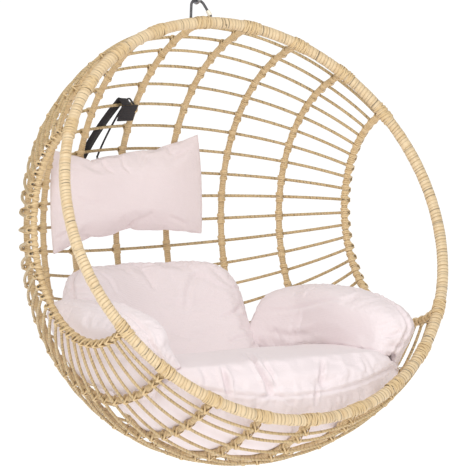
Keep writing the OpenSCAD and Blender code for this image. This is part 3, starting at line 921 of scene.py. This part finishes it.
def drawn(tree, pts, step=0.012):
    """image points laid on a surface, and joined by a smooth line over it"""
    pts = np.asarray(pts, float)
    out = []
    for i in range(len(pts) - 1):
        for t in np.linspace(0, 1, 7, endpoint=False):
            out.append(pts[i] * (1 - t) + pts[i + 1] * t)
    out.append(pts[-1])
    hits = []
    for px, py in out:
        o, d = ray(px, py)
        h = tree.ray_cast(Vector(o), Vector(d), 100.0)
        if h[0] is not None:
            hits.append(np.array(h[0]))
    return np.array(hits)


def ripple(V, N, amp, freq, stretch, seed, thin=0.22):
    """soft folds that wander over the cloth"""
    off = np.random.default_rng(seed).uniform(0, 50, 3)
    Q = (V * freq * np.asarray(stretch) + off).tolist()
    h = np.array([noise.noise(q) for q in Q])
    g = np.array([noise.noise((q[0] * 0.31 + 7, q[1] * 0.31, q[2] * 0.31)) for q in Q])
    f = np.exp(-(h / thin) ** 2) * np.clip(g * 2.2 + 0.15, 0, 1)
    return V - N * (amp * f)[:, None]


def in_shell(V, gap=0.0085, belly=0.007):
    """keeps the cloth inside the ribs; between them it bellies out towards the rods"""
    Q = V - HC
    y, z = Q @ W, Q @ U
    a, rho = np.arctan2(z, y), np.hypot(y, z)
    r, c = cut(a)
    x, e = Q[:, 0], rho - c
    lane = np.abs(np.sin(np.pi * np.degrees(np.arcsin(np.clip(x / HR, -1, 1))) / 15.0))
    lim = r - gap + belly * lane ** 1.5
    d = np.hypot(x, e)
    k = np.where((d > lim) & (y > 0.03), lim / d, 1.0)
    x2, rho2 = x * k, c + e * k
    Q2 = x2[:, None] * X + (rho2 * np.cos(a))[:, None] * W + (rho2 * np.sin(a))[:, None] * U
    return np.where((k < 1)[:, None], HC + Q2, V)


def soft(name, warp, e1, e2, mat, replaced, voxel=0.008, frames=16, pressure=2.5, slack=-0.035, cap=0.012,
         folds=(), tufts=(), seed=0, upright=False, body="basket", pucker=0.034, shape=None, ripples=0.0022):
    P, F = ball(96, 40, e1, e2)
    ob = make(name, warp(P), F, body=None, mat=mat)
    bm = bmesh.new()
    bm.from_mesh(ob.data)
    bmesh.ops.recalc_face_normals(bm, faces=bm.faces)
    bm.to_mesh(ob.data)
    bm.free()
    # where the two panels of the cover are sewn together
    th = np.linspace(0, 2 * np.pi, 241)

    def skin_pt(t, ph):
        """angle round the seam, and angle off it"""
        if upright:
            p = [sp(np.cos(t), e1) * sp(np.cos(ph), e2), sp(np.cos(t), 0) * 0 + sp(np.sin(ph), e2), sp(np.sin(t), e1) * sp(np.cos(ph), 0.3)]
        else:
            p = [sp(np.cos(ph), e1) * sp(np.cos(t), e2), sp(np.cos(ph), e1) * sp(np.sin(t), e2), sp(np.sin(ph), e1)]
        return warp(np.stack(np.broadcast_arrays(*p), -1))
    ring = skin_pt(th, 0 * th + (0.05 if upright else 0.0))
    remesh(ob, voxel)
    d, t = line_distance(coords(ob.data), ring, 0.02)
    inflate(ob, np.where(d < voxel * 0.8)[0], frames, pressure, slack, cap)
    subdivide(ob)
    me = ob.data
    V = coords(me)
    N = normals(me)
    g = np.random.default_rng(seed)
    V = ripple(V, N, ripples, 7.0, (0.7, 0.7, 1.0), seed + 1)
    V = ripple(V, N, ripples * 0.55, 15.0, (1.0, 0.6, 0.8), seed + 2)
    V = crease(V, N, ring, 0.0045, 0.0045, taper=False, lip=0.45)
    # gathers that run off the seam
    length = np.concatenate([[0], np.cumsum(np.linalg.norm(np.diff(ring, axis=0), axis=1))])
    at = 0.0
    while at < length[-1]:
        at += pucker * g.uniform(0.5, 1.5)
        t0 = np.interp(at, length, th)
        for sgn in (1, -1):
            if g.uniform() < 0.75:
                ph = np.linspace(0.02, g.uniform(0.22, 0.62), 6) * sgn
                tt = t0 + g.uniform(-0.10, 0.10) * np.linspace(0, 1, 6)
                q = skin_pt(tt, ph)
                V = crease(V, N, q, g.uniform(0.0016, 0.0034), 0.0042, lip=0.5)
    tree = BVHTree.FromPolygons(V.tolist(), [list(p.vertices) for p in me.polygons])
    for pts, depth, width in folds:
        path = drawn(tree, pts)
        if len(path) > 2:
            V = crease(V, N, path, depth, width)
    for px, py, depth in tufts:
        o, dd = ray(px, py)
        h = tree.ray_cast(Vector(o), Vector(dd), 100.0)
        if h[0] is not None:
            d = np.linalg.norm(V - np.array(h[0]), axis=1)
            V = V - N * (depth * np.exp(-(d / 0.022) ** 2) + 0.4 * depth * np.exp(-(d / 0.006) ** 2))[:, None]
    move_to(me, in_shell(V))
    ob.data.polygons.foreach_set("use_smooth", [True] * len(ob.data.polygons))
    ob.data.materials.clear()
    ob.data.materials.append(mat)
    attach(ob, body)
    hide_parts(*replaced)
    return ob


def step3(t):
    t = np.clip(t, 0, 1)
    return t * t * (3 - 2 * t)


def levelled(q):
    c, s_ = math.cos(TILT), math.sin(TILT)
    return np.stack([q[:, 0], q[:, 1] * c + q[:, 2] * s_, q[:, 2] * c - q[:, 1] * s_], -1)


IN = 0.004   # the base shapes are drawn in by this and blown back up


def w_back(P):
    a = np.radians(-13.5 + 25.3 * P[:, 1])
    b = np.radians((37.2 + 3.5 * P[:, 1]) * P[:, 0] * np.where(P[:, 0] < 0, 1.17 - 0.07 * P[:, 1], 1.0))
    return hoop_pt(shell(a, b, 0.012 + IN + (0.145 - 2 * IN) * (1 + P[:, 2]) / 2))


def w_arm(sgn):
    # the arm lobes meet the back at their rear ends and hang down outside the seat
    def f(P):
        y = 0.150 - (0.272 - IN) * P[:, 0]
        z0 = -0.290 - np.where(y > 0.15, 0.25, 0.60) * (y - 0.15) ** 2 + (0.091 - IN) * P[:, 2]
        inner = (0.124 * (1 - 0.10 * np.maximum(0, -P[:, 0]) ** 2) - 2 * IN) * (1 - P[:, 1]) / 2
        inner = inner + 0.022 * np.maximum(0, 1 - P[:, 0] ** 2) * np.maximum(0, 1 - P[:, 2] ** 2) * (1 - P[:, 1]) / 2
        x0 = np.minimum(side_x(y, np.maximum(z0, -0.345), 0.014 + IN), 0.432 - IN) - inner
        low = -0.345 - 0.100 * step3((x0 - 0.352) / 0.05) - 0.05 * step3((y - 0.225) / 0.06)
        z = np.maximum(z0 - 0.05 * np.maximum(0, -P[:, 2]) * step3((x0 - 0.33) / 0.06), low + 0.010 * P[:, 2])
        return HC + np.stack([sgn * (np.minimum(side_x(y, z, 0.014 + IN), 0.432 - IN) - inner), y, z], -1)
    return f


def w_seat(P):
    a = np.radians(-63.5 + 20.2 * P[:, 1])
    r, c = cut(a)
    b = np.arcsin(np.clip((0.392 - IN) * P[:, 0] / (r - 0.013 - IN), -0.99, 0.99))
    q = levelled(shell(a, b, 0.013 + IN))
    low = np.maximum(q[:, 2], -0.588 + IN)
    top = np.maximum(-0.344 - IN + 0.006 * P[:, 0] - 0.100 * step3((np.abs(q[:, 0]) - 0.315) / 0.07), q[:, 2] + 0.012 - 2 * IN)
    return HC + np.stack([q[:, 0], q[:, 1], low + (top - low) * (1 + P[:, 2]) / 2], -1)


back = soft("back_cushion_cover", w_back, 0.7, 0.5, M_CLOTH, ["back_cushion"], seed=31, cap=0.010,
            folds=[([(247, 300), (236, 312), (222, 318)], 0.004, 0.006), ([(252, 335), (238, 338), (226, 345)], 0.004, 0.006),
                   ([(95, 268), (110, 280), (118, 296)], 0.0035, 0.007), ([(150, 300), (185, 306), (220, 300)], 0.003, 0.009),
                   ([(197, 272), (188, 290), (186, 312)], 0.0035, 0.007), ([(197, 272), (215, 284), (232, 290)], 0.0035, 0.006),
                   ([(160, 330), (190, 338), (225, 332)], 0.003, 0.010), ([(65, 285), (78, 292), (92, 292)], 0.0035, 0.006)],
            tufts=[(197, 274, 0.010)])
arm_l = soft("arm_cushion_left_cover", w_arm(-1), 0.42, 0.5, M_CLOTH, ["arm_cushion_left"], seed=41, voxel=0.006,
             upright=True, cap=0.008, folds=[([(138, 325), (128, 334), (122, 346)], 0.004, 0.005), ([(138, 325), (146, 338), (158, 352)], 0.004, 0.005)],
             tufts=[(138, 325, 0.006)])
arm_r = soft("arm_cushion_right_cover", w_arm(1), 0.42, 0.5, M_CLOTH, ["arm_cushion_right"], seed=43, voxel=0.006,
             upright=True, cap=0.010,
             folds=[([(404, 330), (392, 336), (380, 338)], 0.004, 0.005), ([(408, 342), (396, 346), (382, 347)], 0.004, 0.005),
                    ([(410, 356), (398, 356), (386, 353)], 0.004, 0.005), ([(400, 318), (386, 324), (374, 327)], 0.0035, 0.005),
                    ([(262, 312), (290, 310), (330, 300), (368, 297)], 0.003, 0.006), ([(262, 330), (290, 336), (318, 333)], 0.003, 0.008)])
seat = soft("seat_cushion_cover", w_seat, 0.40, 0.5, M_CLOTH, ["seat_cushion"], seed=51, cap=0.012,
            folds=[([(222, 366), (226, 380), (230, 400)], 0.017, 0.006), ([(248, 353), (258, 368), (266, 380), (273, 394)], 0.019, 0.006),
                   ([(260, 356), (270, 372), (279, 386)], 0.007, 0.005), ([(323, 358), (322, 370), (323, 384)], 0.009, 0.0055),
                   ([(318, 382), (316, 394), (315, 406)], 0.008, 0.0045), ([(272, 392), (262, 398), (250, 402)], 0.004, 0.005),
                   ([(272, 392), (284, 398), (292, 404)], 0.004, 0.005), ([(200, 366), (206, 376), (205, 388)], 0.004, 0.006),
                   ([(360, 354), (366, 364), (368, 374)], 0.0035, 0.006)],
            tufts=[(323, 381, 0.010), (272, 391, 0.011)])


# the head pillow: two flat panels sewn round the edge, blown up, its corners left as ears
def head_pillow():
    nx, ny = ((79, 47))
    u, v = np.meshgrid(np.linspace(-1, 1, nx), np.linspace(-1, 1, ny), indexing="ij")
    b = (1 - u ** 2) * (1 - v ** 2)
    full = 0.004
    bb = b
    x = 0.235 * u * (1 + 0.030 * (1 - v ** 2))
    z = 0.1375 * v * (1 + 0.055 * (1 - u ** 2))
    front = np.stack([x, -full * bb, z], -1).reshape(-1, 3)
    rear = np.stack([x, full * bb, z], -1).reshape(-1, 3)
    edge = np.zeros((nx, ny), bool)
    edge[0] = edge[-1] = edge[:, 0] = edge[:, -1] = True
    inner = ~edge.ravel()
    ids = np.arange(nx * ny)
    ids[inner] = nx * ny + np.arange(inner.sum())
    f1 = grid_faces(nx, ny)
    ob = make("head_pillow_cover", np.concatenate([front, rear[inner]]), np.concatenate([f1, ids[f1][:, ::-1]]),
              body=None, mat=M_PILLOW)
    bm = bmesh.new()
    bm.from_mesh(ob.data)
    bmesh.ops.recalc_face_normals(bm, faces=bm.faces)
    bm.to_mesh(ob.data)
    bm.free()
    inflate(ob, [], 24, 3.0, 0.0, 0.2, mass=0.1, bend=0.05)
    subdivide(ob)
    me = ob.data
    V = coords(me)
    lo, hi = V.min(0), V.max(0)
    V = (V - (lo + hi) / 2) / ((hi - lo) / 2)
    V = np.stack([V[:, 0] * 0.228, V[:, 1] * 0.042, V[:, 2] * 0.129], -1)
    # the top edge hangs down between the ears, where the strap doesn't hold it
    left = np.clip(0.5 - V[:, 0] / 0.456, 0, 1) ** 2
    V[:, 2] += 0.010 * left * np.clip(0.5 + V[:, 2] / 0.258, 0, 1)
    V[:, 0] -= (0.022 * np.clip(0.5 - V[:, 2] / 0.258, 0, 1) - 0.006) * left
    t = np.clip(V[:, 2] / 0.129, 0, 1)
    V[:, 2] -= 0.010 * t * (1 - (V[:, 0] / 0.228) ** 2)
    a = math.radians(-4)
    V = np.stack([V[:, 0] * math.cos(a) + V[:, 2] * math.sin(a), V[:, 1], -V[:, 0] * math.sin(a) + V[:, 2] * math.cos(a)], -1)
    V = V + HC + np.array([-0.022, 0.572, 0.025])
    move_to(me, V)
    N = normals(me)
    V = ripple(V, N, 0.0022, 11.0, (0.8, 1, 1.2), 61)
    tree = BVHTree.FromPolygons(V.tolist(), [list(p.vertices) for p in me.polygons])
    for pts, depth, width in (
            ([(58, 160), (68, 166), (80, 168)], 0.004, 0.005), ([(52, 175), (64, 178), (76, 176)], 0.003, 0.005),
            ([(100, 157), (106, 168), (116, 174)], 0.004, 0.005), ([(122, 156), (124, 166), (132, 174)], 0.0035, 0.005),
            ([(148, 150), (144, 160), (140, 168)], 0.003, 0.005), ([(192, 148), (180, 154), (172, 160)], 0.0035, 0.005),
            ([(54, 240), (66, 234), (76, 226)], 0.0035, 0.005), ([(188, 226), (178, 220), (168, 216)], 0.003, 0.005),
            ([(70, 196), (90, 204), (112, 205)], 0.002, 0.007)):
        path = drawn(tree, pts)
        if len(path) > 2:
            V = crease(V, N, path, depth, width)
    move_to(me, V)
    me.polygons.foreach_set("use_smooth", [True] * len(me.polygons))
    me.materials.clear()
    me.materials.append(M_PILLOW)
    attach(ob, "pillow")
    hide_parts("head_pillow")
    return ob


pillow = head_pillow()


# ------------------------------------------------------------------ the pillow's webbing
PHI6 = rod_phi(6) + math.radians(1.5)
WEB_IN, WEB_OUT = -RIB_WRAP_R - 0.0022, ROD_OFF + ROD_R + 0.0014


def on_ribs(x, phi, r):
    """a point r outside the centre rib's line at side x"""
    R, c = rib_rad(0) + r, rib_cen(0)
    return np.array([x, c + R * math.cos(phi), R * math.sin(phi)])


def onto_rods(q, out=0.0012):
    """draws a hoop-frame point in until it lies on the rods"""
    a, rho = math.atan2(q[2], q[1]), math.hypot(q[1], q[2])
    r, c = cut(a)
    d = math.hypot(q[0], rho - c)
    k = (r + ROD_OFF + ROD_R + out) / d
    rho = c + (rho - c) * k
    return np.array([q[0] * k, rho * math.cos(a), rho * math.sin(a)])


def rounded(P, N, times=3):
    """corner cutting that keeps both ends"""
    P, N = np.array(P, float), np.array(N, float)
    for _ in range(times):
        A, B = 0.75 * P[:-1] + 0.25 * P[1:], 0.25 * P[:-1] + 0.75 * P[1:]
        C, D = 0.75 * N[:-1] + 0.25 * N[1:], 0.25 * N[:-1] + 0.75 * N[1:]
        P = np.concatenate([P[:1], np.stack([A, B], 1).reshape(-1, 3), P[-1:]])
        N = np.concatenate([N[:1], np.stack([C, D], 1).reshape(-1, 3), N[-1:]])
    return P, N


def web(bag, P, N, width, thick=0.0014):
    P, N = rounded(P, N)
    v, f, a = ribbon(P, N, width, thick, crown=0.02)
    bag.add(v, f, a, 0.5)


def tail(bag, xc, width, skew, run):
    er = np.array([0, math.cos(PHI6), math.sin(PHI6)])
    et = np.array([0, -math.sin(PHI6), math.cos(PHI6)])
    c = np.array([xc, rib_cen(0), 0.0])
    down = math.sin(skew) * np.array([1.0, 0, 0]) + math.cos(skew) * et
    R = rib_rad(0) + WEB_OUT
    P, N = [on_ribs(xc, PHI6, WEB_IN), on_ribs(xc, PHI6, 0.0), on_ribs(xc, PHI6, WEB_OUT - 0.002)], [et, et, et + er]
    for t in np.linspace(0.006, run, 12):
        q = c + R * (math.cos(t) * er - math.sin(t) * down)
        P.append(onto_rods(q) if t > 0.03 else q)
        N.append(math.cos(t) * er - math.sin(t) * down)
    q = P[-1]
    web(bag, hoop_pt(np.array(P)), hoop_dir(np.array(N)), width)
    return hoop_pt(q), hoop_dir(N[-1])


bag = Bag()
ends = [tail(bag, -0.033, 0.028, math.radians(27), math.radians(20.2)), tail(bag, -0.0125, 0.006, math.radians(17), math.radians(18.2))]
# the patch is folded over the inside of the centre rib
P = [on_ribs(-0.0235, p, WEB_IN) for p in np.linspace(PHI6 - 0.002, rod_phi(6) - math.radians(3.8), 8)]
N = [-np.array([0, math.cos(p), math.sin(p)]) for p in np.linspace(PHI6 - 0.002, rod_phi(6) - math.radians(3.8), 8)]
web(bag, hoop_pt(np.array(P)), hoop_dir(np.array(N)), 0.050)
strap = bag.piece("pillow_webbing", M_WEB, "webbing", "pillow_strap")

# the last hand's breadth comes in between two rods to the pillow's back
bag = Bag()
for (q, n), x, w in zip(ends, (-0.108, -0.058), (0.028, 0.006)):
    sewn = HC + np.array([x, 0.602, 0.098])
    mid = q * 0.5 + sewn * 0.5 + np.array([0, 0, -0.002])
    web(bag, [q + n * 0.0 , q * 0.85 + sewn * 0.15, mid, sewn], [n, n * 0.5 - np.array([0, 0, 0.9]), np.array([0, 0, -1.0]), np.array([0, 0.3, -1.0])], w)
inner = make("pillow_webbing_end", np.concatenate(bag.V), bag.F, body=None, mat=M_WEB,
             attrs={"tone": np.concatenate(bag.T), "strip": np.concatenate(bag.A), "dark": np.zeros(bag.n)})
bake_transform(inner)

# the tab is sewn flat to the pillow's back, under the webbing's ends
bag = Bag()
web(bag, [HC + np.array([x, 0.6025 + 0.0025 * math.cos((x + 0.083) / 0.031 * 1.5), 0.092 + 0.03 * (x + 0.083)]) for x in np.linspace(-0.124, -0.046, 9)],
    [np.array([0, 1.0, 0.15])] * 9, 0.026, 0.0016)
tab = bag.piece("pillow_webbing_tab", M_WEB, "webbing", "pillow_tab", body="pillow")

# ------------------------------------------------------------------ floor and light
fl = bpy.data.meshes.new("floor")
fl.from_pydata([(-150, -150, -1.9), (150, -150, -1.9), (150, 150, -1.9), (-150, 150, -1.9)], [], [(0, 1, 2, 3)])
floor = bpy.data.objects.new("floor", fl)
scene.collection.objects.link(floor)
fm, fnt, fb = principled("floor_pale")
fb.inputs["Base Color"].default_value = (0.86, 0.86, 0.86, 1)
fb.inputs["Roughness"].default_value = 0.9
fb.inputs["Specular IOR Level"].default_value = 0.1
fb.inputs["Emission Color"].default_value = (1, 1, 1, 1)
fb.inputs["Emission Strength"].default_value = 0.50
fl.materials.append(fm)

world = bpy.data.worlds.new("studio")
scene.world = world
world.use_nodes = True
world.node_tree.nodes["Background"].inputs["Color"].default_value = (1, 1, 1, 1)
world.node_tree.nodes["Background"].inputs["Strength"].default_value = 0.66


def area(name, direction, dist, size, power, colour=(1, 1, 1)):
    L = bpy.data.lights.new(name, "AREA")
    L.shape, L.size, L.energy, L.color = "SQUARE", size, power, colour
    ob = bpy.data.objects.new(name, L)
    scene.collection.objects.link(ob)
    d = np.asarray(direction, float)
    d /= np.linalg.norm(d)
    ob.location = HC + d * dist
    ob.rotation_mode = "QUATERNION"
    ob.rotation_quaternion = Vector(-d).to_track_quat("-Z", "Y")
    return ob


area("key", BACK * 0.75 - RIGHT * 0.28 + np.array([0, 0, 0.75]), 4.5, 2.2, 84)
area("fill", BACK * 1.0 + RIGHT * 0.25 + np.array([0, 0, 0.1]), 5.5, 3.5, 60)

scene.view_settings.view_transform = "Standard"
scene.view_settings.look = "None"
scene.view_settings.exposure = 0.0
scene.view_settings.gamma = 1.0
